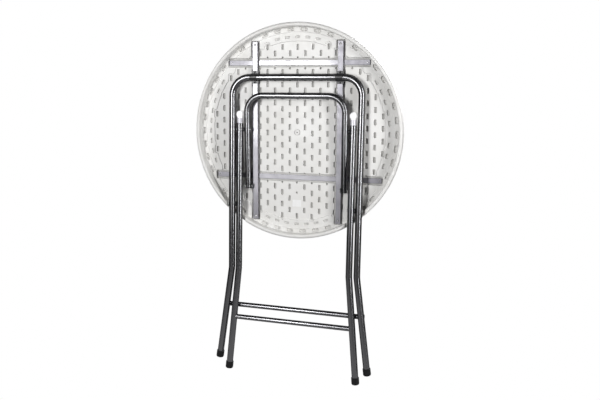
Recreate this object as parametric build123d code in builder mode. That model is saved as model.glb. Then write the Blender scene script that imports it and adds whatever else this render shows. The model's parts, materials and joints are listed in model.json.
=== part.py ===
from build123d import *

import os
from math import atan, cos, sin

# Round folding table, folded flat and stood upright on the feet of its inner leg frame.
# X is the width, Z is up, and the table's working surface faces +Y. Lengths are in millimetres.
# Places on the table are given from the centre of the round top: across (x), up (z) and depth, which
# is the distance in front of the rails' front faces, towards -Y.

# ---- driving dimensions ----
TOP_RADIUS = 400
TOP_CENTRE_Z = 940.94         # height of the top's centre when folded
RAIL_FACE_Y = 28.1597         # where the rails' front faces lie, so that the whole is centred on Y = 0
SURFACE_DEPTH = -19           # working surface
FLOOR_DEPTH = -10             # floor of the recess under the top
LIP_DEPTH = 28                # crest of the lip around the recess
NOTCH_DEPTH = 15              # floor of the lip's notches, through which the legs pass
NOTCH_X = (197, 272)
NOTCH_Z = (-440, -250)
LIP_INNER_RADIUS = 381.5
POCKET_RING_RADIUS = 365      # inside edge of the ring next to the lip
BAND_RADIUS = 334             # inside edge of the flat band
POCKET_RING_DEPTH = -4
BAND_DEPTH = -6.5
RIM_ROUND = 10                # rounding of the working surface's edge
LIP_OUTER_ROUND = 8
LIP_INNER_ROUND = 6
SEAT_CLEARANCE = 1            # added to a rail's width and length for its seat in the plastic
PLUG_SEAT_RADIUS = 10
PLUG_SEAT_DEPTH = 3
LABEL_Z = -270
LABEL_SIZE = (34, 26)
LABEL_THICKNESS = 0.4

RAIL_X = 164
RAIL_WIDTH = 20
RAIL_THICKNESS = 10
RAIL_TOP_Z = 333
RAIL_BOTTOM_Z = -338
CROSS_WIDTH = 19
CROSS_THICKNESS = 5
UPPER_CROSS_Z = 256.5
UPPER_CROSS_HALF = 271
LOWER_CROSS_Z = -170.3
LOWER_CROSS_HALF = 324
SHEET = 1.5                   # steel sheet of rails and straps
SCREW_HEIGHTS = (321.7, -326.5)
SCREW_RADIUS = 2
SCREW_LENGTH = 16
RIVET_RADIUS = 2.5
RIVET_LENGTH = 4.5

LEG_DIAMETER = 25
STRETCHER_DIAMETER = 19
LINK_DIAMETER = 22
WALL = 1.2

HINGE_Z = 203                 # outer frame's hinge bar
HINGE_DEPTH = 13.5
OUTER_X = 249
OUTER_LEAN = 0.036            # depth gained per millimetre down the outer frame
OUTER_CORNER = 67
OUTER_BEND_Z = -529
OUTER_FOOT_X = 299.8
OUTER_FOOT_Z = -901.5
OUTER_STRETCHER_Z = -684
OUTER_STRETCHER_SETBACK = 20  # behind the outer legs, so that the inner legs lie in front of it

CROSSING_Z = -279             # pivot where the two leg frames cross
INNER_X = 219.5
INNER_LEAN = 0.045
INNER_TOP_Z = 32
INNER_BEND_Z = -528
INNER_FOOT_X = 257
INNER_FOOT_Z = -940
INNER_STRETCHER_Z = -726
END_CAP_Z = 65

LINK_X = 189.5
LINK_CORNER = 62
LINK_BAR_Z = 136
LINK_END_Z = -217
KNEE_Z = 8                    # pivot between link bow and inner legs
LINK_HINGE_Z = -209           # pivot between link bow and rails
LINK_HINGE_DEPTH = 10

FOOT_DIAMETER = 30
FOOT_LENGTH = 28
FOOT_SOLE = 6                 # rubber below the tube's end, and rounding of the sole
FOOT_RIM = 1.2                # rounding of the foot's upper edge
GAP = 0.3                     # between faces that turn on each other
RUNNING = 0.05                # radial clearance of a pin in its hole

os.makedirs("parts", exist_ok=True)


# ---- places ----
def at(x, z, depth):
    """A point from the top's centre, in the part's own frame."""
    return Vector(x, RAIL_FACE_Y - depth, TOP_CENTRE_Z + z)


CROSSING_DEPTH = HINGE_DEPTH + OUTER_LEAN * (HINGE_Z - CROSSING_Z)


def outer_depth(z):
    return HINGE_DEPTH + OUTER_LEAN * (HINGE_Z - z)


def inner_depth(z):
    return CROSSING_DEPTH + INNER_LEAN * (CROSSING_Z - z)


LINK_LEAN = (inner_depth(KNEE_Z) - LINK_HINGE_DEPTH) / (LINK_HINGE_Z - KNEE_Z)


def link_depth(z):
    return LINK_HINGE_DEPTH + LINK_LEAN * (LINK_HINGE_Z - z)


def leaning_plane(z, depth, lean):
    """A plane whose X is the table's X and whose Y climbs along a leaning frame."""
    angle = atan(lean)
    return Plane(origin=at(0, z, depth), x_dir=(1, 0, 0), z_dir=(0, -cos(angle), sin(angle)))


def table_plane(depth):
    """A plane parallel to the top: X across, Y up, normal to the front."""
    return Plane(origin=at(0, 0, depth), x_dir=(1, 0, 0), z_dir=(0, -1, 0))


def across(x, z, depth):
    """A location whose Z axis lies along the table's X, for pins and their holes."""
    return Location(at(x, z, depth), (0, 90, 0))


OUTER = leaning_plane(HINGE_Z, HINGE_DEPTH, OUTER_LEAN)
INNER = leaning_plane(CROSSING_Z, CROSSING_DEPTH, INNER_LEAN)
LINK = leaning_plane(LINK_HINGE_Z, LINK_HINGE_DEPTH, LINK_LEAN)


def climb(z, start_z, lean):
    """Distance along a leaning frame from its plane's origin up to a height."""
    return (z - start_z) / cos(atan(lean))


def save(builder, name):
    builder.part.label = name
    export_step(builder.part, f"parts/{name}.step")


# ---- the round top ----
with BuildPart() as table_top:
    section = Plane(origin=at(0, 0, 0), x_dir=(1, 0, 0), z_dir=(0, 0, 1))
    with BuildSketch(section):
        with BuildLine():
            # outline in (radius, minus depth), from the working surface round the rim to the recess
            surface_edge = (TOP_RADIUS - RIM_ROUND, -SURFACE_DEPTH)
            rim_start = (TOP_RADIUS, -SURFACE_DEPTH - RIM_ROUND)
            rim_end = (TOP_RADIUS, LIP_OUTER_ROUND - LIP_DEPTH)
            crest_start = (TOP_RADIUS - LIP_OUTER_ROUND, -LIP_DEPTH)
            crest_end = (LIP_INNER_RADIUS + LIP_INNER_ROUND, -LIP_DEPTH)
            inside_start = (LIP_INNER_RADIUS, LIP_INNER_ROUND - LIP_DEPTH)
            Line((0, -SURFACE_DEPTH), surface_edge)
            RadiusArc(surface_edge, rim_start, RIM_ROUND)
            Line(rim_start, rim_end)
            RadiusArc(rim_end, crest_start, LIP_OUTER_ROUND)
            Line(crest_start, crest_end)
            RadiusArc(crest_end, inside_start, LIP_INNER_ROUND)
            Polyline(
                inside_start,
                (LIP_INNER_RADIUS, -POCKET_RING_DEPTH),
                (POCKET_RING_RADIUS, -POCKET_RING_DEPTH),
                (POCKET_RING_RADIUS - 1, -BAND_DEPTH),
                (BAND_RADIUS, -BAND_DEPTH),
                (BAND_RADIUS - 2, -FLOOR_DEPTH),
                (0, -FLOOR_DEPTH),
                (0, -SURFACE_DEPTH),
            )
        make_face()
    revolve(axis=Axis(at(0, 0, 0), (0, 1, 0)))
    # notches in the lip for the folded legs
    with BuildSketch(table_plane(NOTCH_DEPTH)):
        for side in (-1, 1):
            with Locations((side * sum(NOTCH_X) / 2, sum(NOTCH_Z) / 2)):
                Rectangle(NOTCH_X[1] - NOTCH_X[0], NOTCH_Z[1] - NOTCH_Z[0])
    extrude(amount=LIP_DEPTH, mode=Mode.SUBTRACT)
    # channels in which the rails are seated
    with BuildSketch(table_plane(FLOOR_DEPTH)):
        for side in (-1, 1):
            with Locations((side * RAIL_X, (RAIL_TOP_Z + RAIL_BOTTOM_Z) / 2)):
                Rectangle(RAIL_WIDTH + SEAT_CLEARANCE, RAIL_TOP_Z - RAIL_BOTTOM_Z + SEAT_CLEARANCE)
    extrude(amount=RAIL_THICKNESS, mode=Mode.SUBTRACT)
    with BuildSketch(table_plane(FLOOR_DEPTH - CROSS_THICKNESS)):
        for z, half in ((UPPER_CROSS_Z, UPPER_CROSS_HALF), (LOWER_CROSS_Z, LOWER_CROSS_HALF)):
            with Locations((0, z)):
                Rectangle(2 * half + SEAT_CLEARANCE, CROSS_WIDTH + SEAT_CLEARANCE)
    extrude(amount=RAIL_THICKNESS + CROSS_THICKNESS, mode=Mode.SUBTRACT)
    # pilot holes of the rail screws
    for side in (-1, 1):
        for z in SCREW_HEIGHTS:
            with Locations(Location(at(side * RAIL_X, z, FLOOR_DEPTH), (90, 0, 0))):
                Cylinder(SCREW_RADIUS, SCREW_LENGTH, mode=Mode.SUBTRACT)
    # seat of the centre plug
    with BuildSketch(table_plane(FLOOR_DEPTH)):
        Circle(PLUG_SEAT_RADIUS)
    extrude(amount=-PLUG_SEAT_DEPTH, mode=Mode.SUBTRACT)
save(table_top, "table_top")

with BuildPart() as centre_plug:
    with BuildSketch(table_plane(FLOOR_DEPTH - PLUG_SEAT_DEPTH)):
        Circle(PLUG_SEAT_RADIUS - 0.1)
    extrude(amount=PLUG_SEAT_DEPTH * 1.5)
    fillet(centre_plug.faces().sort_by(Axis.Y)[0].edges(), 1)
save(centre_plug, "centre_plug")

with BuildPart() as blank_label:
    with BuildSketch(table_plane(FLOOR_DEPTH)):
        with Locations((0, LABEL_Z)):
            RectangleRounded(*LABEL_SIZE, 2)
    extrude(amount=LABEL_THICKNESS)
save(blank_label, "blank_label")


# ---- rails under the top ----
def channel(depth, centre, size, thickness, holes):
    """A folded sheet channel with its back open, lying on a table plane."""
    width, height = size
    with BuildPart() as rail:
        with BuildSketch(table_plane(depth - thickness)):
            with Locations(centre):
                Rectangle(width, height)
        extrude(amount=thickness)
        fillet(rail.faces().sort_by(Axis.Y)[0].edges(), 1)
        with BuildSketch(table_plane(depth - thickness)):
            with Locations(centre):
                Rectangle(width - 2 * SHEET, height - 2 * SHEET)
        extrude(amount=thickness - SHEET, mode=Mode.SUBTRACT)
        for x, z, radius in holes:
            with Locations(Location(at(x, z, depth), (90, 0, 0))):
                Cylinder(radius, 4 * SHEET, mode=Mode.SUBTRACT)
    return rail


STRAP_RIVET_REACH = 18.9      # strap rivets above and below the hinge bar

for side, label in ((-1, "left"), (1, "right")):
    rail_x = side * RAIL_X
    rail_holes = [(rail_x, z, SCREW_RADIUS + 0.1) for z in SCREW_HEIGHTS]
    rail_holes += [(rail_x, HINGE_Z + s * STRAP_RIVET_REACH, RIVET_RADIUS) for s in (-1, 1)]
    rail_size = (RAIL_WIDTH, RAIL_TOP_Z - RAIL_BOTTOM_Z)
    rail_centre = (rail_x, (RAIL_TOP_Z + RAIL_BOTTOM_Z) / 2)
    save(channel(0, rail_centre, rail_size, RAIL_THICKNESS, rail_holes), f"rail_{label}")

cross_rails = ((UPPER_CROSS_Z, UPPER_CROSS_HALF, "upper"), (LOWER_CROSS_Z, LOWER_CROSS_HALF, "lower"))
for z, half, label in cross_rails:
    cross = channel(-RAIL_THICKNESS, (0, z), (2 * half, CROSS_WIDTH), CROSS_THICKNESS, [])
    save(cross, f"cross_rail_{label}")


def headed_fasteners(places, head_radius, head_height, shaft_radius, shaft_length):
    """Screws or rivets with domed heads standing on a table plane at each (x, z, depth)."""
    with BuildPart() as group:
        for x, z, depth in places:
            with BuildSketch(Plane(origin=at(x, z, depth), x_dir=(1, 0, 0), z_dir=(0, 0, 1))):
                with BuildLine():
                    Line((0, shaft_length), (0, -head_height))
                    ThreePointArc(
                        (0, -head_height),
                        (head_radius * 0.72, -head_height * 0.62),
                        (head_radius, 0),
                    )
                    Polyline(
                        (head_radius, 0),
                        (shaft_radius, 0),
                        (shaft_radius, shaft_length),
                        (0, shaft_length),
                    )
                make_face()
            revolve(axis=Axis(at(x, z, depth), (0, 1, 0)))
    return group


screw_places = [(side * RAIL_X, z, 0) for side in (-1, 1) for z in SCREW_HEIGHTS]
save(headed_fasteners(screw_places, 4.5, 2.2, SCREW_RADIUS - RUNNING, SCREW_LENGTH), "rail_screws")

strap_rivet_places = [
    (side * RAIL_X, HINGE_Z + s * STRAP_RIVET_REACH, SHEET) for side in (-1, 1) for s in (-1, 1)
]
strap_rivets = headed_fasteners(strap_rivet_places, 4, 1.6, RIVET_RADIUS - RUNNING, RIVET_LENGTH)
save(strap_rivets, "strap_rivets")

# ---- saddle straps that hold the outer frame's hinge bar ----
STRAP_WIDTH = 27
STRAP_FLANGE = 23.5           # from the bar's axis to the flange's end
STRAP_INNER = LEG_DIAMETER / 2 + 0.15


def strap_profile(reach, radius, base):
    """Omega outline in the plane across the bar: y up, x towards the front."""
    crown = (HINGE_DEPTH, radius)
    Polyline((base, -reach), (0, -reach), (0, reach), (base, reach), (base, radius), crown)
    ThreePointArc(crown, (HINGE_DEPTH + radius, 0), (HINGE_DEPTH, -radius))
    Polyline((HINGE_DEPTH, -radius), (base, -radius), (base, -reach))


for side, label in ((-1, "left"), (1, "right")):
    with BuildPart() as strap:
        middle = Plane(origin=at(side * RAIL_X, HINGE_Z, 0), x_dir=(0, -1, 0), z_dir=(-1, 0, 0))
        with BuildSketch(middle.offset(-STRAP_WIDTH / 2)):
            with BuildLine():
                strap_profile(STRAP_FLANGE, STRAP_INNER + SHEET, SHEET)
            make_face()
        extrude(amount=STRAP_WIDTH)
        with BuildSketch(middle.offset(-STRAP_WIDTH / 2)):
            with BuildLine():
                Polyline((0, STRAP_INNER), (HINGE_DEPTH, STRAP_INNER))
                ThreePointArc(
                    (HINGE_DEPTH, STRAP_INNER),
                    (HINGE_DEPTH + STRAP_INNER, 0),
                    (HINGE_DEPTH, -STRAP_INNER),
                )
                Polyline((HINGE_DEPTH, -STRAP_INNER), (0, -STRAP_INNER), (0, STRAP_INNER))
            make_face()
        extrude(amount=STRAP_WIDTH, mode=Mode.SUBTRACT)
        for s in (-1, 1):
            rivet = at(side * RAIL_X, HINGE_Z + s * STRAP_RIVET_REACH, 0)
            with Locations(Location(rivet, (90, 0, 0))):
                Cylinder(RIVET_RADIUS, 6 * SHEET, mode=Mode.SUBTRACT)
    save(strap, f"saddle_strap_{label}")

# ---- brackets, with their pins, on which the link bow turns ----
EAR_X = RAIL_X + RAIL_WIDTH / 2   # the bracket lies against the rail's outer side
EAR_THICKNESS = 3.5
EAR_HALF = 15
EAR_BACK = -9.5               # depth of the bracket's back edge
EAR_EYE_RADIUS = 9
LINK_PIN_RADIUS = 4

for side, label in ((-1, "left"), (1, "right")):
    with BuildPart() as bracket:
        eye = at(side * EAR_X, LINK_HINGE_Z, LINK_HINGE_DEPTH)
        with BuildSketch(Plane(origin=eye, x_dir=(0, -1, 0), z_dir=(side, 0, 0))):
            Circle(EAR_EYE_RADIUS)
            with Locations((-LINK_HINGE_DEPTH / 2, 0)):
                Rectangle(LINK_HINGE_DEPTH, 2 * EAR_EYE_RADIUS)
            with Locations((EAR_BACK / 2 - LINK_HINGE_DEPTH, 0)):
                Rectangle(-EAR_BACK, 2 * EAR_HALF)
            Circle(LINK_PIN_RADIUS, mode=Mode.SUBTRACT)
        extrude(amount=EAR_THICKNESS)
    save(bracket, f"link_bracket_{label}")


def cross_pin(side, z, depth, start, end, radius, heads):
    """A pin along X from start to end (distances from the middle), with heads (start, end, radius)."""
    with BuildPart() as pin:
        with Locations(across(side * (start + end) / 2, z, depth)):
            Cylinder(radius, end - start)
        for head_start, head_end, head_radius in heads:
            with Locations(across(side * (head_start + head_end) / 2, z, depth)):
                Cylinder(head_radius, head_end - head_start)
    return pin


def ring(side, z, depth, start, end, outer_radius, inner_radius):
    """A washer or spacer around a pin along X."""
    with BuildPart() as spacer:
        with Locations(across(side * (start + end) / 2, z, depth)):
            Cylinder(outer_radius, end - start)
            Cylinder(inner_radius, end - start, mode=Mode.SUBTRACT)
    return spacer


LINK_OUTSIDE = LINK_X + LINK_DIAMETER / 2
LINK_INSIDE = LINK_X - LINK_DIAMETER / 2
INNER_OUTSIDE = INNER_X + LEG_DIAMETER / 2
INNER_INSIDE = INNER_X - LEG_DIAMETER / 2
OUTER_OUTSIDE = OUTER_X + LEG_DIAMETER / 2
OUTER_INSIDE = OUTER_X - LEG_DIAMETER / 2
HEAD = 2
HEAD_RADIUS = 6

for side, label in ((-1, "left"), (1, "right")):
    link_end = LINK_OUTSIDE + GAP
    heads = [(EAR_X - HEAD, EAR_X, HEAD_RADIUS), (link_end, link_end + HEAD, HEAD_RADIUS)]
    pin = cross_pin(
        side, LINK_HINGE_Z, LINK_HINGE_DEPTH, EAR_X, link_end, LINK_PIN_RADIUS, heads
    )
    save(pin, f"link_pin_{label}")


# ---- bent tubes ----
def bent_tube(plane, points, bend_radius, diameter):
    """A round tube swept along straight runs joined by bends, drawn on a leaning plane."""
    with BuildPart() as tube:
        with BuildLine(plane) as path:
            FilletPolyline(*points, radius=bend_radius)
        with BuildSketch(Plane(origin=path.line @ 0, z_dir=path.line % 0)):
            Circle(diameter / 2)
            Circle(diameter / 2 - WALL, mode=Mode.SUBTRACT)
        sweep(path=path.line)
    return tube


def drill(tube, places, radius, length):
    """Cross holes along X through a finished tube, at each (x, z, depth)."""
    with BuildPart() as drilled:
        add(tube.part)
        for x, z, depth in places:
            with Locations(across(x, z, depth)):
                Cylinder(radius, length, mode=Mode.SUBTRACT)
    return drilled


def straight_tube(start, end, diameter, cutters):
    """A round tube between two points, its ends cut to fit against other tubes."""
    with BuildPart() as tube:
        with BuildSketch(Plane(origin=start, z_dir=end - start)):
            Circle(diameter / 2)
            Circle(diameter / 2 - WALL, mode=Mode.SUBTRACT)
        extrude(amount=(end - start).length)
        for cutter in cutters:
            add(cutter, mode=Mode.SUBTRACT)
    return tube


def solid_leg(plane, start, end):
    """The full round outline of a leg's straight run, for cutting what is welded to it."""
    first = plane.from_local_coords(start)
    last = plane.from_local_coords(end)
    with BuildPart() as leg:
        with BuildSketch(Plane(origin=first, z_dir=last - first)):
            Circle(LEG_DIAMETER / 2)
        extrude(amount=(last - first).length)
    return leg.part


def rubber_foot(plane, bend, sole):
    """A rubber cap around a leg's lower end; bend and sole are (x, distance) on the leg's plane."""
    down = (plane.from_local_coords(sole) - plane.from_local_coords(bend)).normalized()
    base = plane.from_local_coords(sole)
    with BuildPart() as foot:
        with BuildSketch(Plane(origin=base - down * FOOT_LENGTH, z_dir=down)):
            Circle(FOOT_DIAMETER / 2)
        extrude(amount=FOOT_LENGTH)
        ends = foot.edges().filter_by(GeomType.CIRCLE).sort_by(lambda edge: edge.center().dot(down))
        fillet(ends[-1], FOOT_SOLE)
        fillet(ends[0], FOOT_RIM)
        with BuildSketch(Plane(origin=base - down * FOOT_LENGTH, z_dir=down)):
            Circle(LEG_DIAMETER / 2)
        extrude(amount=FOOT_LENGTH - FOOT_SOLE, mode=Mode.SUBTRACT)
    return foot


def shortened(bend, sole, cut):
    """The point where a tube ends inside its foot, a little above the sole."""
    dx = sole[0] - bend[0]
    dy = sole[1] - bend[1]
    length = (dx * dx + dy * dy) ** 0.5
    return (sole[0] - dx / length * cut, sole[1] - dy / length * cut)


def outer_point(x, z):
    return (x, climb(z, HINGE_Z, OUTER_LEAN))


def inner_point(x, z):
    return (x, climb(z, CROSSING_Z, INNER_LEAN))


# ---- outer leg frame ----
outer_ends = {}
for side, label in ((-1, "left"), (1, "right")):
    bend = outer_point(side * OUTER_X, OUTER_BEND_Z)
    sole = outer_point(side * OUTER_FOOT_X, OUTER_FOOT_Z)
    outer_ends[side] = (bend, sole)
    save(rubber_foot(OUTER, bend, sole), f"outer_foot_{label}")

outer_path = [
    shortened(*outer_ends[-1], FOOT_SOLE),
    outer_ends[-1][0],
    outer_point(-OUTER_X, HINGE_Z),
    outer_point(OUTER_X, HINGE_Z),
    outer_ends[1][0],
    shortened(*outer_ends[1], FOOT_SOLE),
]
outer_tube = bent_tube(OUTER, outer_path, OUTER_CORNER, LEG_DIAMETER)
CROSSING_PIN_RADIUS = 3.5
crossing_holes = [(side * OUTER_X, CROSSING_Z, CROSSING_DEPTH) for side in (-1, 1)]
outer_leg_frame = drill(outer_tube, crossing_holes, CROSSING_PIN_RADIUS, 2 * LEG_DIAMETER)
save(outer_leg_frame, "outer_leg_frame")


def splay(z, top_x, bend_z, foot_x, foot_z):
    """Distance of a splayed leg's axis from the middle at a height below its bend."""
    return top_x + (foot_x - top_x) * (z - bend_z) / (foot_z - bend_z)


STRETCHER_EXCESS = 8          # the outer stretcher ends beyond the legs' axes, behind them
outer_stretcher_x = splay(OUTER_STRETCHER_Z, OUTER_X, OUTER_BEND_Z, OUTER_FOOT_X, OUTER_FOOT_Z)
outer_stretcher_x += STRETCHER_EXCESS
outer_stretcher_depth = outer_depth(OUTER_STRETCHER_Z) - OUTER_STRETCHER_SETBACK
outer_stretcher = straight_tube(
    at(-outer_stretcher_x, OUTER_STRETCHER_Z, outer_stretcher_depth),
    at(outer_stretcher_x, OUTER_STRETCHER_Z, outer_stretcher_depth),
    STRETCHER_DIAMETER,
    [solid_leg(OUTER, *outer_ends[side]) for side in (-1, 1)],
)
save(outer_stretcher, "outer_stretcher")

# ---- inner legs ----
KNEE_DEPTH = inner_depth(KNEE_Z)
KNEE_PIN_RADIUS = 3.5
inner_ends = {}
for side, label in ((-1, "left"), (1, "right")):
    bend = inner_point(side * INNER_X, INNER_BEND_Z)
    sole = inner_point(side * INNER_FOOT_X, INNER_FOOT_Z)
    inner_ends[side] = (bend, sole)
    save(rubber_foot(INNER, bend, sole), f"inner_foot_{label}")
    top = inner_point(side * INNER_X, INNER_TOP_Z)
    inner_path = [top, bend, shortened(bend, sole, FOOT_SOLE)]
    inner_tube = bent_tube(INNER, inner_path, OUTER_CORNER, LEG_DIAMETER)
    holes = [
        (side * INNER_X, CROSSING_Z, CROSSING_DEPTH),
        (side * INNER_X, KNEE_Z, KNEE_DEPTH),
    ]
    save(drill(inner_tube, holes, CROSSING_PIN_RADIUS, 2 * LEG_DIAMETER), f"inner_leg_{label}")

inner_stretcher_x = splay(INNER_STRETCHER_Z, INNER_X, INNER_BEND_Z, INNER_FOOT_X, INNER_FOOT_Z)
inner_stretcher = straight_tube(
    at(-inner_stretcher_x, INNER_STRETCHER_Z, inner_depth(INNER_STRETCHER_Z)),
    at(inner_stretcher_x, INNER_STRETCHER_Z, inner_depth(INNER_STRETCHER_Z)),
    STRETCHER_DIAMETER,
    [solid_leg(INNER, *inner_ends[side]) for side in (-1, 1)],
)
save(inner_stretcher, "inner_stretcher")

# ---- white knobs that close the tops of the inner legs ----
CAP_RADIUS = 14
NECK_RADIUS = 10
NECK_OVERLAP = 7              # of the neck inside the knob
PLUG_LENGTH = 14
PLUG_RADIUS = LEG_DIAMETER / 2 - WALL
for side, label in ((-1, "left"), (1, "right")):
    tip = INNER.from_local_coords(inner_point(side * INNER_X, INNER_TOP_Z))
    up = INNER.y_dir
    with BuildPart() as end_cap:
        with BuildSketch(Plane(origin=tip - up * PLUG_LENGTH, z_dir=up)):
            Circle(PLUG_RADIUS)
        extrude(amount=PLUG_LENGTH)
        with BuildSketch(Plane(origin=tip, z_dir=up)):
            Circle(NECK_RADIUS)
        extrude(amount=END_CAP_Z - INNER_TOP_Z - CAP_RADIUS + NECK_OVERLAP)
        centre = INNER.from_local_coords(inner_point(side * INNER_X, END_CAP_Z))
        with Locations(centre):
            Sphere(CAP_RADIUS)
    save(end_cap, f"end_cap_{label}")

# ---- link bow between the rails and the inner legs ----
def link_point(x, z):
    return (x, climb(z, LINK_HINGE_Z, LINK_LEAN))


link_path = [
    link_point(-LINK_X, LINK_END_Z),
    link_point(-LINK_X, LINK_BAR_Z),
    link_point(LINK_X, LINK_BAR_Z),
    link_point(LINK_X, LINK_END_Z),
]
link_tube = bent_tube(LINK, link_path, LINK_CORNER, LINK_DIAMETER)
knee_holes = [(side * LINK_X, KNEE_Z, KNEE_DEPTH) for side in (-1, 1)]
hinge_holes = [(side * LINK_X, LINK_HINGE_Z, LINK_HINGE_DEPTH) for side in (-1, 1)]
knee_drilled = drill(link_tube, knee_holes, KNEE_PIN_RADIUS + RUNNING, 2 * LINK_DIAMETER)
link_bow = drill(knee_drilled, hinge_holes, LINK_PIN_RADIUS + RUNNING, 2 * LINK_DIAMETER)
save(link_bow, "link_bow")

# ---- pins and spacers of the leg pivots ----
KNEE_SPACER_RADIUS = 7.5
CROSSING_SPACER_RADIUS = 9
for side, label in ((-1, "left"), (1, "right")):
    knee_start = LINK_INSIDE - GAP
    knee_heads = [
        (knee_start - HEAD, knee_start, HEAD_RADIUS),
        (INNER_OUTSIDE, INNER_OUTSIDE + HEAD, HEAD_RADIUS),
    ]
    knee = cross_pin(
        side, KNEE_Z, KNEE_DEPTH, knee_start, INNER_OUTSIDE, KNEE_PIN_RADIUS, knee_heads
    )
    save(knee, f"knee_pin_{label}")
    knee_spacer = ring(
        side, KNEE_Z, KNEE_DEPTH, LINK_OUTSIDE + GAP, INNER_INSIDE, KNEE_SPACER_RADIUS,
        KNEE_PIN_RADIUS,
    )
    save(knee_spacer, f"knee_spacer_{label}")

    # the crossing pivot is in two halves that meet with a small gap between them
    meeting_x = INNER_OUTSIDE + GAP
    outer_half = cross_pin(
        side, CROSSING_Z, CROSSING_DEPTH, meeting_x, OUTER_OUTSIDE, CROSSING_PIN_RADIUS,
        [(OUTER_OUTSIDE, OUTER_OUTSIDE + HEAD, HEAD_RADIUS)],
    )
    save(outer_half, f"crossing_pin_{label}")
    crossing_spacer = ring(
        side, CROSSING_Z, CROSSING_DEPTH, meeting_x, OUTER_INSIDE, CROSSING_SPACER_RADIUS,
        CROSSING_PIN_RADIUS,
    )
    save(crossing_spacer, f"crossing_spacer_{label}")
    inner_half = cross_pin(
        side, CROSSING_Z, CROSSING_DEPTH, INNER_INSIDE, INNER_OUTSIDE, CROSSING_PIN_RADIUS,
        [(INNER_INSIDE - HEAD, INNER_INSIDE, HEAD_RADIUS)],
    )
    save(inner_half, f"crossing_pin_end_{label}")
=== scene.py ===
import json
import math

import bmesh
import bpy
import numpy as np
from mathutils import Matrix, Vector


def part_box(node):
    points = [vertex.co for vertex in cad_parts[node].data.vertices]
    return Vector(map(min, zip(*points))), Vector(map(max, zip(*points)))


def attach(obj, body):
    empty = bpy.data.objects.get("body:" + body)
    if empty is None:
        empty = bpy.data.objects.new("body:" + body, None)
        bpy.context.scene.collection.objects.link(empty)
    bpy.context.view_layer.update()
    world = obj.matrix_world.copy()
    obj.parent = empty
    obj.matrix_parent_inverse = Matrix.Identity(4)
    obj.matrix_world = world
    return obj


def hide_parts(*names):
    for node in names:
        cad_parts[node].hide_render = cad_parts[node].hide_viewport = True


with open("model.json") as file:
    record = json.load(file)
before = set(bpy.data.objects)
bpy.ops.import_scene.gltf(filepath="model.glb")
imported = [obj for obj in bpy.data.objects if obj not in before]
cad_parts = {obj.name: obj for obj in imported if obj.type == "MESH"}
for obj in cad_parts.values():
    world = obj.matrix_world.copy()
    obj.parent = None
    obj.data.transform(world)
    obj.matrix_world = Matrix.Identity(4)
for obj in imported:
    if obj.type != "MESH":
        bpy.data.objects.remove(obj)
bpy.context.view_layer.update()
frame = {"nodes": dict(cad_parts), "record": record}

# Round folding table, folded flat and stood upright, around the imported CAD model.
# Places under the top are (x, z, depth) in millimetres from the middle of the round top; depth is
# the distance in front of the rails' front faces, as in the CAD source. Materials, and the places of
# the floor, the lights and the camera, are in metres.

MM = 0.001
SIDES = (-1, 1)
top_low, top_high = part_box("table_top")
rail_low, rail_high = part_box("rail_right")
plug_low, plug_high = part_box("centre_plug")
cross_boxes = (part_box("cross_rail_upper"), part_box("cross_rail_lower"))
FACE_Y = rail_low.y
CENTRE_Z = (top_low.z + top_high.z) / 2


def at(x, z, depth):
    """A place under the top, in metres."""
    return (x * MM, FACE_Y - depth * MM, CENTRE_Z + z * MM)


def middle_z(low, high):
    """Height of a box's middle, in millimetres from the top's middle."""
    return ((low.z + high.z) / 2 - CENTRE_Z) / MM


def half_width(low, high):
    return (high.x - low.x) / 2 / MM


def front_depth(low):
    """Depth of a box's side that faces the viewer of the underside."""
    return (FACE_Y - low.y) / MM


RAIL_X = (rail_low.x + rail_high.x) / 2 / MM
RAIL_Z = middle_z(rail_low, rail_high)
RAIL_HALF_Z = (rail_high.z - rail_low.z) / 2 / MM
CROSS_Z = [middle_z(*box) for box in cross_boxes]
CROSS_HALF_X = [half_width(*box) for box in cross_boxes]
LABEL_Z = middle_z(*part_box("blank_label"))


# ---------------------------------------------------------------- mesh helpers
def mesh_object(name, points, faces, body=None, slot=None):
    """A piece with its faces turned outwards."""
    mesh = bpy.data.meshes.new(name)
    mesh.from_pydata(points, [], faces)
    mesh.update()
    fix = bmesh.new()
    fix.from_mesh(mesh)
    bmesh.ops.recalc_face_normals(fix, faces=fix.faces)
    fix.to_mesh(mesh)
    fix.free()
    piece = bpy.data.objects.new(name, mesh)
    bpy.context.scene.collection.objects.link(piece)
    if body:
        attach(piece, body)
    return piece


def add_stack(into, outlines):
    """Adds a closed body to a list of points and faces: outlines of equally many points in a stack."""
    points, faces = into
    first, count = len(points), len(outlines[0])
    for outline in outlines:
        points.extend(outline)
    for row in range(len(outlines) - 1):
        a, b = first + row * count, first + (row + 1) * count
        for k in range(count):
            n = (k + 1) % count
            faces.append((a + k, a + n, b + n, b + k))
    last = first + (len(outlines) - 1) * count
    faces.append(tuple(range(first, first + count)))
    faces.append(tuple(range(last, last + count)))


def circle(steps):
    """The angles of a circle of points."""
    return [2 * math.pi * k / steps for k in range(steps)]


def on_circle(radius, angle):
    """A place (x, z) on a circle round the top's middle; the angle starts straight up."""
    return radius * math.sin(angle), radius * math.cos(angle)


def turned(profile, steps):
    """Points and faces of a profile of (radius, depth) turned round the middle, closed flat."""
    body = ([], [])
    add_stack(body, [
        [at(*on_circle(radius, a), depth) for a in circle(steps)] for radius, depth in profile
    ])
    return body


def rounded(half_x, half_z, radius, corner_steps):
    """Outline of a rounded rectangle about its own middle."""
    radius = min(radius, half_x, half_z)
    found = []
    for corner, (sx, sz) in enumerate(((1, 1), (-1, 1), (-1, -1), (1, -1))):
        for k in range(corner_steps + 1):
            a = math.radians(90 * corner + 90 * k / corner_steps)
            found.append((
                sx * (half_x - radius) + radius * math.cos(a),
                sz * (half_z - radius) + radius * math.sin(a),
            ))
    return found


LEAST_CORNER = 0.4
SMOOTH_STEPS = 5


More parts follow.
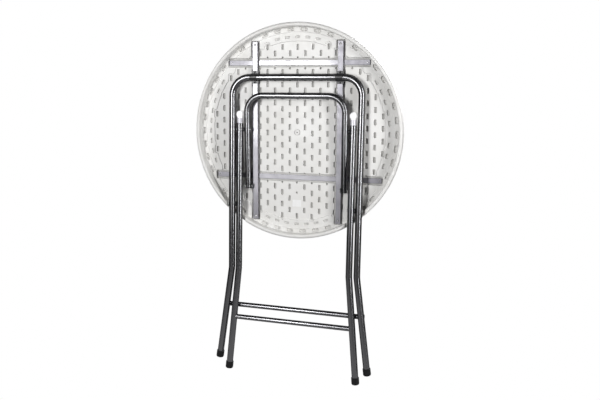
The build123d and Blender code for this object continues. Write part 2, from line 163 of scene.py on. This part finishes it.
def add_hollow(into, x, z, half_x, half_z, radius, levels, turn=0.0, corner_steps=3):
    """Adds a body that cuts one hollow: levels are (growth of outline, depth)."""
    c, s = math.cos(turn), math.sin(turn)
    outlines = []
    for growth, depth in levels:
        corner = max(radius + growth, LEAST_CORNER)
        outline = rounded(half_x + growth, half_z + growth, corner, corner_steps)
        outlines.append([at(x + px * c - pz * s, z + px * s + pz * c, depth) for px, pz in outline])
    add_stack(into, outlines)


def sunk(base, depth, flare=1.0, headroom=2.0):
    """Levels of a hollow sunk in a flat at depth base, with a soft mouth and a rounded bottom."""
    return [
        (1.9 * flare, base + headroom),
        (1.9 * flare, base + 0.30 * flare),
        (0.66 * flare, base - 0.18 * flare),
        (0.22 * flare, base - 0.62 * flare),
        (0.0, base - 1.3 * flare),
        (-0.35, depth + 1.1),
        (-0.75, depth + 0.3),
        (-1.6, depth),
    ]


def cut(piece, parts):
    """Cuts a list of points and faces out of a piece, and keeps the result as its mesh."""
    tool = mesh_object("cutting_tool", *parts)
    change = piece.modifiers.new("cut", "BOOLEAN")
    change.operation = "DIFFERENCE"
    change.solver = "MANIFOLD"
    change.object = tool
    bpy.context.view_layer.update()
    result = bpy.data.meshes.new_from_object(piece.evaluated_get(bpy.context.evaluated_depsgraph_get()))
    piece.modifiers.remove(change)
    piece.data = result
    bpy.data.objects.remove(tool)


# ---------------------------------------------------------------- the moulded top
# Its underside steps down inwards from the lip to a ring, a band and the recess floor.
TOP_RADIUS = half_width(top_low, top_high)
SURFACE = (FACE_Y - top_high.y) / MM
LIP, LIP_INSIDE = front_depth(top_low), 385.0
RING, RING_RADIUS = -4.0, 367.0
BAND, BAND_RADIUS = -6.5, 335.0
FLOOR = -10.0
TURN_STEPS, ROUND_STEPS, SMALL_ROUND_STEPS = 240, 7, 3
RIM_ROUND, LIP_OUTER_ROUND, LIP_INNER_ROUND = 10.0, 8, 6
LIP_FOOT_ROUND, RING_ROUND, BAND_ROUND = 1.5, 1.2, 1
# parting line of the mould, round the rim: (distance inwards, depth)
PARTING_LINE = ((0.0, -5.2), (0.9, -4.4), (0.9, -3.6), (0.0, -2.8))
# feet of the two steps: (distance inwards, height over the lower flat)
RING_FOOT = ((0.4, 0.4), (1.6, 0.0))
BAND_FOOT = ((1, 0.8), (2.2, 0.0))


def arc(x, depth, radius, start, end, steps=ROUND_STEPS):
    """Points (radius from the middle, depth) on a rounding; angles in degrees."""
    found = []
    for k in range(steps + 1):
        a = math.radians(start + (end - start) * k / steps)
        found.append((x + radius * math.cos(a), depth + radius * math.sin(a)))
    return found


def top_profile():
    """Half section of the top, from the working surface round the rim to the recess floor."""
    line = arc(TOP_RADIUS - RIM_ROUND, SURFACE + RIM_ROUND, RIM_ROUND, -90, 0)
    line += [(TOP_RADIUS - inwards, depth) for inwards, depth in PARTING_LINE]
    line += arc(TOP_RADIUS - LIP_OUTER_ROUND, LIP - LIP_OUTER_ROUND, LIP_OUTER_ROUND, 0, 90)
    line += arc(LIP_INSIDE + LIP_INNER_ROUND, LIP - LIP_INNER_ROUND, LIP_INNER_ROUND, 90, 180)
    line += arc(
        LIP_INSIDE - LIP_FOOT_ROUND, RING + LIP_FOOT_ROUND, LIP_FOOT_ROUND, 0, -90, SMALL_ROUND_STEPS,
    )
    line += arc(RING_RADIUS + RING_ROUND, RING - RING_ROUND, RING_ROUND, 90, 170, SMALL_ROUND_STEPS)
    line += [(RING_RADIUS - inwards, BAND + height) for inwards, height in RING_FOOT]
    line += arc(BAND_RADIUS + BAND_ROUND, BAND - BAND_ROUND, BAND_ROUND, 90, 165, SMALL_ROUND_STEPS)
    line += [(BAND_RADIUS - inwards, FLOOR + height) for inwards, height in BAND_FOOT]
    return line


top = mesh_object("top_moulding", *turned(top_profile(), TURN_STEPS))

# notches in the lip for the folded legs
NOTCH_X, NOTCH_Z = (197.0, 272.0), (-440.0, -250.0)
NOTCH_FLOOR, NOTCH_CORNER = 15.0, 5
NOTCH_LEVELS = [
    (1.6, LIP + 6), (1.6, LIP), (0.6, LIP - 0.6), (0.0, LIP - 1.6),
    (-0.3, NOTCH_FLOOR + 1), (-1, NOTCH_FLOOR),
]
notches = ([], [])
for side in SIDES:
    add_hollow(
        notches, side * sum(NOTCH_X) / 2, sum(NOTCH_Z) / 2,
        (NOTCH_X[1] - NOTCH_X[0]) / 2, (NOTCH_Z[1] - NOTCH_Z[0]) / 2, NOTCH_CORNER, NOTCH_LEVELS,
    )
cut(top, notches)

# wide channels in which the rails and the cross rails lie
CHANNEL_HALF, CHANNEL_END, CHANNEL_CORNER = 16.0, 3.0, 4
RAIL_CHANNEL_FLOOR, CROSS_CHANNEL_FLOOR = -13.5, -15.6


def channel(floor):
    """Levels of a channel with a soft mouth in the recess floor."""
    return [
        (1.2, RING + 1), (1.2, FLOOR + 0.2), (0.5, FLOOR - 0.2), (0, FLOOR - 1),
        (-0.4, floor + 0.8), (-1.4, floor),
    ]


upright = ([], [])
for side in SIDES:
    add_hollow(
        upright, side * RAIL_X, RAIL_Z, CHANNEL_HALF, RAIL_HALF_Z + CHANNEL_END, CHANNEL_CORNER,
        channel(RAIL_CHANNEL_FLOOR), corner_steps=SMOOTH_STEPS,
    )
cut(top, upright)
crosswise = ([], [])
for z, half_x in zip(CROSS_Z, CROSS_HALF_X):
    add_hollow(
        crosswise, 0, z, half_x + CHANNEL_END, CHANNEL_HALF, CHANNEL_CORNER,
        channel(CROSS_CHANNEL_FLOOR), corner_steps=SMOOTH_STEPS,
    )
cut(top, crosswise)

# rows of pockets in the recess floor, staggered like bricks
COLUMNS, COLUMN_PITCH = range(-12, 13), 29.4
ROWS, ROW_PITCH, ROW_START = range(-9, 10), 45.2, -3.0
POCKET_HALF_X, POCKET_HALF_Z, POCKET_CORNER = 4.7, 10.4, 2.6
POCKET_LEVELS = sunk(FLOOR, -16.7)
# where a pocket reaches the band, the recess floor bulges round it
BAND_CLEAR, BAY_REACH = 8, 12.0
BAY_HALF_X, BAY_HALF_Z, BAY_CORNER = 11.5, 17.5, 8.5
BAY_LEVELS = [
    (1.2, BAND + 1), (1.2, BAND + 0.15), (0.5, BAND - 0.2), (0, BAND - 0.9),
    (-0.5, FLOOR + 0.5), (-1.0, FLOOR),
]
# round dots stand in for the pockets above and below each cross rail, and for a lone one
DOT_RADIUS = 4.0
DOT_LEVELS = sunk(FLOOR, -17.0, 0.6)
DOT_Z = ((275.5, 236.0), (-155.0, -190.5))
LONE_DOT_Z, LONE_DOT_REACH = -229, 12
CROSS_CLEAR_Z, CROSS_CLEAR_X = 26, 8
LABEL_CLEAR = 22


def near_cross_rail(x, z):
    """Number of the cross rail beside a place, or None."""
    for n in (0, 1):
        if abs(z - CROSS_Z[n]) < CROSS_CLEAR_Z and abs(x) < CROSS_HALF_X[n] + CROSS_CLEAR_X:
            return n
    return None


def sort_places():
    """Places of the pockets, of the bays among them, and of the dots."""
    pockets, bays, dots = [], [], set()
    for i in COLUMNS:
        for k in ROWS:
            x, z = i * COLUMN_PITCH, ROW_START - (ROW_PITCH / 2 if i % 2 else 0.0) + k * ROW_PITCH
            corner = math.hypot(abs(x) + POCKET_HALF_X, abs(z) + POCKET_HALF_Z)
            rail = near_cross_rail(x, z)
            on_plug = i == 0 and k == 0
            on_label = i == 0 and abs(z - LABEL_Z) < LABEL_CLEAR
            if on_plug:
                continue
            if rail is not None:
                dot_z = DOT_Z[rail][0 if z > CROSS_Z[rail] else 1]
                if math.hypot(x, dot_z) < BAND_RADIUS - BAND_CLEAR:
                    dots.add((x, dot_z))
            elif on_label or corner > BAND_RADIUS + BAY_REACH:
                continue
            elif i == 0 and abs(z - LONE_DOT_Z) < LONE_DOT_REACH:
                dots.add((x, z))
            else:
                pockets.append((x, z))
                if corner > BAND_RADIUS - BAND_CLEAR:
                    bays.append((x, z))
    return pockets, bays, sorted(dots)


pocket_places, bay_places, dot_places = sort_places()
bays = ([], [])
for x, z in bay_places:
    add_hollow(
        bays, x, z, BAY_HALF_X, BAY_HALF_Z, BAY_CORNER, BAY_LEVELS, corner_steps=SMOOTH_STEPS,
    )
floor_pockets = ([], [])
for x, z in pocket_places:
    add_hollow(floor_pockets, x, z, POCKET_HALF_X, POCKET_HALF_Z, POCKET_CORNER, POCKET_LEVELS)
for x, z in dot_places:
    add_hollow(floor_pockets, x, z, DOT_RADIUS, DOT_RADIUS, DOT_RADIUS, DOT_LEVELS)
cut(top, bays)
cut(top, floor_pockets)

# a ring of wells beside the lip, each with two lobes in it, and a ring of slots in the band
WELL_COUNT, WELL_RADIUS, WELL_CLEAR = 46, 376.4, 13
WELL_HALF_ALONG, WELL_HALF_ACROSS, WELL_CORNER, WELL_FLOOR = 13.4, 6.5, 5.5, -9.0
WELL_LEVELS = sunk(RING, WELL_FLOOR, 0.6, 1.0)
LOBE_APART, LOBE_HALF_ALONG, LOBE_HALF_ACROSS, LOBE_CORNER = 6.4, 5.0, 4.6, 3.6
LOBE_LEVELS = sunk(WELL_FLOOR, -11.5, 0.5, 1.0)
SLOT_COUNT, SLOT_RADIUS, SLOT_CLEAR = 56, 349.5, 9
SLOT_HALF_ALONG, SLOT_HALF_ACROSS, SLOT_CORNER = 9.6, 4.3, 3
SLOT_LEVELS = sunk(BAND, -12.0, 0.7, 1.0)
BAY_CLEAR_X, BAY_CLEAR_Z = 5, 6


def near_channel(x, z, margin):
    """Whether a place is within margin of a channel."""
    half, end = CHANNEL_HALF + margin, CHANNEL_END + margin
    if abs(abs(x) - RAIL_X) < half and abs(z - RAIL_Z) < RAIL_HALF_Z + end:
        return True
    return any(abs(z - CROSS_Z[n]) < half and abs(x) < CROSS_HALF_X[n] + end for n in (0, 1))


def near_bay(x, z):
    return any(
        abs(x - bay_x) < BAY_HALF_X + BAY_CLEAR_X and abs(z - bay_z) < BAY_HALF_Z + BAY_CLEAR_Z
        for bay_x, bay_z in bay_places
    )


rings = ([], [])
lobes = ([], [])
for k in range(WELL_COUNT):
    a = 2 * math.pi * (k + 0.5) / WELL_COUNT
    x, z = on_circle(WELL_RADIUS, a)
    if near_channel(x, z, WELL_CLEAR):
        continue
    add_hollow(rings, x, z, WELL_HALF_ALONG, WELL_HALF_ACROSS, WELL_CORNER, WELL_LEVELS, turn=-a)
    for side in SIDES:
        b = a + side * LOBE_APART / WELL_RADIUS
        x, z = on_circle(WELL_RADIUS, b)
        add_hollow(lobes, x, z, LOBE_HALF_ALONG, LOBE_HALF_ACROSS, LOBE_CORNER, LOBE_LEVELS, turn=-b)
for k in range(SLOT_COUNT):
    a = 2 * math.pi * k / SLOT_COUNT
    x, z = on_circle(SLOT_RADIUS, a)
    if near_channel(x, z, SLOT_CLEAR) or near_bay(x, z):
        continue
    add_hollow(rings, x, z, SLOT_HALF_ALONG, SLOT_HALF_ACROSS, SLOT_CORNER, SLOT_LEVELS, turn=-a)

# round seat of the centre plug, with a groove left round the plug
PLUG_RADIUS, PLUG_GROOVE, SEAT_STEPS = half_width(plug_low, plug_high), 1.2, 8
SEAT_RADIUS = PLUG_RADIUS + PLUG_GROOVE
SEAT_LEVELS = [
    (0.8, FLOOR + 1), (0.8, FLOOR + 0.1), (0.3, FLOOR - 0.3), (0, FLOOR - 1), (0, FLOOR - 3.1),
]
add_hollow(
    rings, 0, 0, SEAT_RADIUS, SEAT_RADIUS, PLUG_RADIUS, SEAT_LEVELS, corner_steps=SEAT_STEPS,
)
cut(top, rings)
cut(top, lobes)
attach(top, "top")
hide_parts("table_top")

# depth under a hollow's mouth at which its painted shade is full, in the ring, the band and the recess
# floor
RING_REACH, BAND_REACH, FLOOR_REACH = 15.0, 9.0, 6.0
MOUTH = 0.7
LIP_MARGIN, SURFACE_MARGIN = 0.3, 1.0


def mark_painted_hollow_shade(mesh):
    """Keeps on the mesh how much painted shade each point gets from lying deep in a hollow, from 0 at
    its mouth to 1 at the reach.
    """
    places = np.zeros(len(mesh.vertices) * 3, np.float32)
    mesh.vertices.foreach_get("co", places)
    places = places.reshape(-1, 3)
    radius = np.hypot(places[:, 0], places[:, 2] - CENTRE_Z) / MM
    depth = (FACE_Y - places[:, 1]) / MM
    inside = (radius < LIP_INSIDE - LIP_MARGIN) & (depth > SURFACE + SURFACE_MARGIN)
    in_ring, in_band = radius > RING_RADIUS, radius > BAND_RADIUS
    base = np.where(in_ring, RING, np.where(in_band, BAND, FLOOR))
    reach = np.where(in_ring, RING_REACH, np.where(in_band, BAND_REACH, FLOOR_REACH))
    share = np.clip((base - MOUTH - depth) / reach, 0, 1) * inside
    layer = mesh.attributes.new("painted_hollow_shade", "FLOAT", "POINT")
    layer.data.foreach_set("value", share.astype(np.float32))


SHARP_ANGLE, NORMAL_WEIGHT = 38, 100
# painted shade for the hollows, kept on the mesh by depth
mark_painted_hollow_shade(top.data)
top.data.shade_smooth()
top.data.set_sharp_from_angle(angle=math.radians(SHARP_ANGLE))
weigh = top.modifiers.new("weighted_normals", "WEIGHTED_NORMAL")
weigh.keep_sharp = True
weigh.weight = NORMAL_WEIGHT

# ---------------------------------------------------------------- small pieces
# Their profiles are (radius, height over the face they stand on).
SMALL_TURN_STEPS = 16

# screws at the cross rails' ends
SCREW_INSET = 10.0
HEAD_PROFILE = ((3.0, -0.2), (2.9, 0.4), (2.2, 0.9), (1.4, 1.1), (1.0, 1.1), (0.7, 0.6))
screw_circle = circle(SMALL_TURN_STEPS)
screws = ([], [])
for low, high in cross_boxes:
    face, z = front_depth(low), middle_z(low, high)
    for side in SIDES:
        x = side * (half_width(low, high) - SCREW_INSET)
        add_stack(screws, [
            [at(x + radius * math.cos(a), z + radius * math.sin(a), face + height) for a in screw_circle]
            for radius, height in HEAD_PROFILE
        ])
end_screws = mesh_object("cross_rail_screws", *screws, "top", "fastener_steel")
end_screws.data.shade_smooth()

# a small dark nub in the middle of the centre plug
MARK_PROFILE = ((2.1, -0.4), (2.1, 0.25), (1.8, 0.4), (0.9, 0.3))
nub = [(radius, front_depth(plug_low) + height) for radius, height in MARK_PROFILE]
mark = mesh_object("centre_mark", *turned(nub, SMALL_TURN_STEPS), "top", "spacer_plastic")

# ---------------------------------------------------------------- finishes
NOISE_DETAIL, NOISE_LOW, NOISE_HIGH = 3.0, 0.3, 0.7
ROUGH_SCALE = 2.7                      # scale of the roughness patches over that of the colour
COAT_ROUGH = 0.1
# how far the painted shade goes towards its colour at the bottom of a hollow
FULL_PAINTED_SHADE = 0.9
NECK_UNDER, NECK_OVER = 0.002, 0.001   # the neck's colour fades out between these
BALL_HEIGHT = 0.026


def finish_of(
    name, dark, light, patch_scale, rough, bumps,
    metallic=0.0, coat=0.0, edge=1.0, painted_glow=0.0, painted_hollow_shade=None, neck=None,
):
    """A procedural finish. Colour wanders between dark and light in patches, roughness between its
    two values, and bumps are (texture, scale, height). The colour deep in hollows is painted
    shade, and neck is (height, colour under it). The emission strength is painted light: the
    finish gives off light in its own colour, though it is no lamp."""
    material = bpy.data.materials.new(name)
    material.use_nodes = True
    nodes, links = material.node_tree.nodes, material.node_tree.links
    nodes.clear()
    out = nodes.new("ShaderNodeOutputMaterial")
    shader = nodes.new("ShaderNodeBsdfPrincipled")
    links.new(shader.outputs["BSDF"], out.inputs["Surface"])
    shader.inputs["Metallic"].default_value = metallic
    shader.inputs["Coat Weight"].default_value = coat
    shader.inputs["Coat Roughness"].default_value = COAT_ROUGH
    shader.inputs["Specular Tint"].default_value = (edge, edge, edge, 1)
    # emission is painted light: a finish with it glows though it is no lamp
    shader.inputs["Emission Strength"].default_value = painted_glow
    coords = nodes.new("ShaderNodeTexCoord")

    def noise(scale):
        texture = nodes.new("ShaderNodeTexNoise")
        texture.inputs["Scale"].default_value = scale
        texture.inputs["Detail"].default_value = NOISE_DETAIL
        links.new(coords.outputs["Object"], texture.inputs["Vector"])
        return texture.outputs[0]

    def blend(factor, first, second):
        mix = nodes.new("ShaderNodeMix")
        mix.data_type = "RGBA"
        links.new(factor, mix.inputs[0])
        for socket, value in ((6, first), (7, second)):
            if isinstance(value, bpy.types.NodeSocket):
                links.new(value, mix.inputs[socket])
            else:
                mix.inputs[socket].default_value = (*value, 1)
        return mix.outputs[2]

    def ranged(value, low, high, start=NOISE_LOW, end=NOISE_HIGH):
        node = nodes.new("ShaderNodeMapRange")
        node.inputs["From Min"].default_value = start
        node.inputs["From Max"].default_value = end
        node.inputs["To Min"].default_value = low
        node.inputs["To Max"].default_value = high
        links.new(value, node.inputs["Value"])
        return node.outputs["Result"]

    colour = blend(ranged(noise(patch_scale), 0, 1), dark, light)
    # painted shade: the colour darkens deep in the hollows, by the depth kept on the mesh
    if painted_hollow_shade:
        layer = nodes.new("ShaderNodeAttribute")
        layer.attribute_name = "painted_hollow_shade"
        colour = blend(ranged(layer.outputs["Fac"], 0, FULL_PAINTED_SHADE, 0, 1), colour, painted_hollow_shade)
    if neck:
        split = nodes.new("ShaderNodeSeparateXYZ")
        links.new(coords.outputs["Object"], split.inputs[0])
        height, neck_colour = neck
        under = ranged(split.outputs[2], 1, 0, height - NECK_UNDER, height + NECK_OVER)
        colour = blend(under, colour, neck_colour)
    links.new(colour, shader.inputs["Base Color"])
    links.new(colour, shader.inputs["Emission Color"])
    links.new(ranged(noise(patch_scale * ROUGH_SCALE), *rough), shader.inputs["Roughness"])
    normal = None
    for texture, scale, height in bumps:
        bump = nodes.new("ShaderNodeBump")
        bump.inputs["Distance"].default_value = height
        if texture == "cells":
            cells = nodes.new("ShaderNodeTexVoronoi")
            cells.feature = "SMOOTH_F1"
            cells.inputs["Scale"].default_value = scale
            links.new(coords.outputs["Object"], cells.inputs["Vector"])
            links.new(cells.outputs["Distance"], bump.inputs["Height"])
        else:
            links.new(noise(scale), bump.inputs["Height"])
        if normal:
            links.new(normal, bump.inputs["Normal"])
        normal = bump.outputs["Normal"]
    links.new(normal, shader.inputs["Normal"])
    return material


knob_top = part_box("end_cap_left")[1].z
LOOKS = {
    "top_plastic": dict(
        dark=(0.755, 0.745, 0.72), light=(0.83, 0.825, 0.81), patch_scale=9, rough=(0.36, 0.5),
        # the last colour here is painted shade, deep in the hollows
        bumps=[("noise", 14, 0.0007), ("noise", 900, 0.0001)], painted_hollow_shade=(0.44, 0.435, 0.42),
    ),
    "plug_plastic": dict(
        dark=(0.70, 0.69, 0.67), light=(0.78, 0.77, 0.76), patch_scale=60, rough=(0.35, 0.5),
        bumps=[("noise", 700, 0.0001)],
    ),
    "label": dict(
        dark=(0.86, 0.86, 0.86), light=(0.92, 0.92, 0.92), patch_scale=80, rough=(0.4, 0.55),
        bumps=[("noise", 300, 0.00008)],
    ),
    "rail_steel": dict(
        dark=(0.235, 0.23, 0.255), light=(0.29, 0.285, 0.31), patch_scale=22, rough=(0.42, 0.52),
        bumps=[("cells", 420, 0.00002), ("noise", 45, 0.00012)], metallic=0.8, coat=1.0,
    ),
    "tube_steel": dict(
        dark=(0.18, 0.18, 0.187), light=(0.197, 0.197, 0.205), patch_scale=9, rough=(0.24, 0.26),
        bumps=[("noise", 12, 0.00004)], metallic=1.0, edge=0.0,
    ),
    "strap_steel": dict(
        dark=(0.02, 0.02, 0.021), light=(0.035, 0.035, 0.037), patch_scale=60, rough=(0.3, 0.42),
        bumps=[("cells", 500, 0.00008)], metallic=0.4, coat=0.2,
    ),
    "bracket_steel": dict(
        dark=(0.03, 0.03, 0.031), light=(0.05, 0.05, 0.052), patch_scale=60, rough=(0.3, 0.42),
        bumps=[("cells", 500, 0.00008)], metallic=0.5, coat=0.2,
    ),
    "fastener_steel": dict(
        dark=(0.48, 0.48, 0.49), light=(0.60, 0.60, 0.61), patch_scale=200, rough=(0.22, 0.35),
        bumps=[("noise", 900, 0.00005)], metallic=1.0,
    ),
    "foot_rubber": dict(
        dark=(0.005, 0.005, 0.0055), light=(0.012, 0.012, 0.0125), patch_scale=70, rough=(0.5, 0.68),
        bumps=[("noise", 600, 0.0001)], edge=0.4,
    ),
    "cap_plastic": dict(
        dark=(0.92, 0.92, 0.93), light=(0.96, 0.96, 0.96), patch_scale=60, rough=(0.14, 0.22),
        # the knob's emission is painted light: it glows though it is no lamp
        bumps=[("noise", 90, 0.0001)], coat=0.5, painted_glow=0.45,
        neck=(knob_top - BALL_HEIGHT, (0.50, 0.49, 0.53)),
    ),
    "spacer_plastic": dict(
        dark=(0.012, 0.012, 0.013), light=(0.022, 0.022, 0.024), patch_scale=90, rough=(0.38, 0.5),
        bumps=[("noise", 700, 0.0001)],
    ),
}
finishes = {name: finish_of(name, **look) for name, look in LOOKS.items()}


def dress(piece, slot):
    piece.data.materials.clear()
    piece.data.materials.append(finishes[slot])


for part in frame["record"]["subparts"]:
    dress(frame["nodes"][part["node"]], part["material_slot"])
dress(top, "top_plastic")
dress(end_screws, "fastener_steel")
dress(mark, "spacer_plastic")

# ---------------------------------------------------------------- floor, light and camera
FLOOR_HALF = 60.0
FLOOR_GLOW, GLOW_FULL, GLOW_GONE = 0.45, 0.4, 2.8


def split_view(tree, shown, lit, out):
    """Gives one shader to the camera, and the other to mirrors and light."""
    path = tree.nodes.new("ShaderNodeLightPath")
    either = tree.nodes.new("ShaderNodeMixShader")
    tree.links.new(path.outputs["Is Camera Ray"], either.inputs[0])
    tree.links.new(lit.outputs[0], either.inputs[1])
    tree.links.new(shown.outputs[0], either.inputs[2])
    tree.links.new(either.outputs[0], out.inputs["Surface"])


def stage_floor():
    """A white floor without a visible edge; polished pieces mirror it up to a few metres away."""
    h = FLOOR_HALF
    piece = mesh_object("floor", [(-h, -h, 0), (h, -h, 0), (h, h, 0), (-h, h, 0)], [(0, 1, 2, 3)])
    material = bpy.data.materials.new("floor")
    material.use_nodes = True
    tree = material.node_tree
    nodes, links = tree.nodes, tree.links
    nodes.clear()
    shown = nodes.new("ShaderNodeEmission")
    mirrored = nodes.new("ShaderNodeEmission")
    coords = nodes.new("ShaderNodeTexCoord")
    distance = nodes.new("ShaderNodeVectorMath")
    distance.operation = "LENGTH"
    fade = nodes.new("ShaderNodeMapRange")
    fade.inputs["From Min"].default_value = GLOW_FULL
    fade.inputs["From Max"].default_value = GLOW_GONE
    fade.inputs["To Min"].default_value = FLOOR_GLOW
    fade.inputs["To Max"].default_value = 0.0
    links.new(coords.outputs["Object"], distance.inputs[0])
    links.new(distance.outputs["Value"], fade.inputs["Value"])
    links.new(fade.outputs["Result"], mirrored.inputs["Strength"])
    split_view(tree, shown, mirrored, nodes.new("ShaderNodeOutputMaterial"))
    piece.data.materials.append(material)
    piece.visible_diffuse = False


def white_world():
    """A white backdrop that gives only a little light of its own."""
    world = bpy.data.worlds.new("studio")
    bpy.context.scene.world = world
    world.use_nodes = True
    nodes = world.node_tree.nodes
    nodes.clear()

    def background(colour, strength):
        node = nodes.new("ShaderNodeBackground")
        node.inputs["Color"].default_value = (*colour, 1)
        node.inputs["Strength"].default_value = strength
        return node

    backdrop, sky = background((1, 1, 1), 1.0), background((0.96, 0.97, 1.0), 0.06)
    split_view(world.node_tree, backdrop, sky, nodes.new("ShaderNodeOutputWorld"))


def area_light(name, place, size, power):
    """A rectangular light that points at the top's middle."""
    data = bpy.data.lights.new(name, "AREA")
    data.shape = "RECTANGLE"
    data.size, data.size_y = size
    data.energy = power
    lamp = bpy.data.objects.new(name, data)
    bpy.context.scene.collection.objects.link(lamp)
    lamp.location = place
    lamp.rotation_euler = (Vector((0, 0, CENTRE_Z)) - Vector(place)).to_track_quat("-Z", "Y").to_euler()


stage_floor()
area_light("key_softbox", (-0.75, -2.30, 1.26), (0.60, 1.06), 37)
area_light("low_fill", (-0.75, -2.30, 0.50), (0.60, 0.34), 2.2)
area_light("right_strip", (1.85, -0.95, 1.1), (0.28, 1.7), 30)
area_light("left_softbox", (-2.7, 0.8, 1.5), (1.2, 1.4), 32)
area_light("back_softbox", (0.9, 2.5, 1.9), (1.6, 1.4), 80)
white_world()
bpy.context.scene.view_settings.view_transform = "Standard"

YAW, PITCH, ROLL = (math.radians(a) for a in (16.451, 9.465, 0.4))
CAMERA_PLACE = (0.6952, -2.2734, 1.0860)
SENSOR_WIDTH, FOCAL_LENGTH = 36.0, 38.4   # millimetres
forward = Vector((-math.sin(YAW) * math.cos(PITCH), math.cos(YAW) * math.cos(PITCH), -math.sin(PITCH)))
right = Vector((math.cos(YAW), math.sin(YAW), 0))
down = forward.cross(right)
rolled_right = math.cos(ROLL) * right - math.sin(ROLL) * down
rolled_down = math.sin(ROLL) * right + math.cos(ROLL) * down
view = bpy.data.cameras.new("camera")
view.sensor_width = SENSOR_WIDTH
view.lens = FOCAL_LENGTH
camera = bpy.data.objects.new("camera", view)
bpy.context.scene.collection.objects.link(camera)
turn = Matrix((rolled_right, -rolled_down, -forward)).transposed()
camera.matrix_world = Matrix.Translation(CAMERA_PLACE) @ turn.to_4x4()
bpy.context.scene.camera = camera
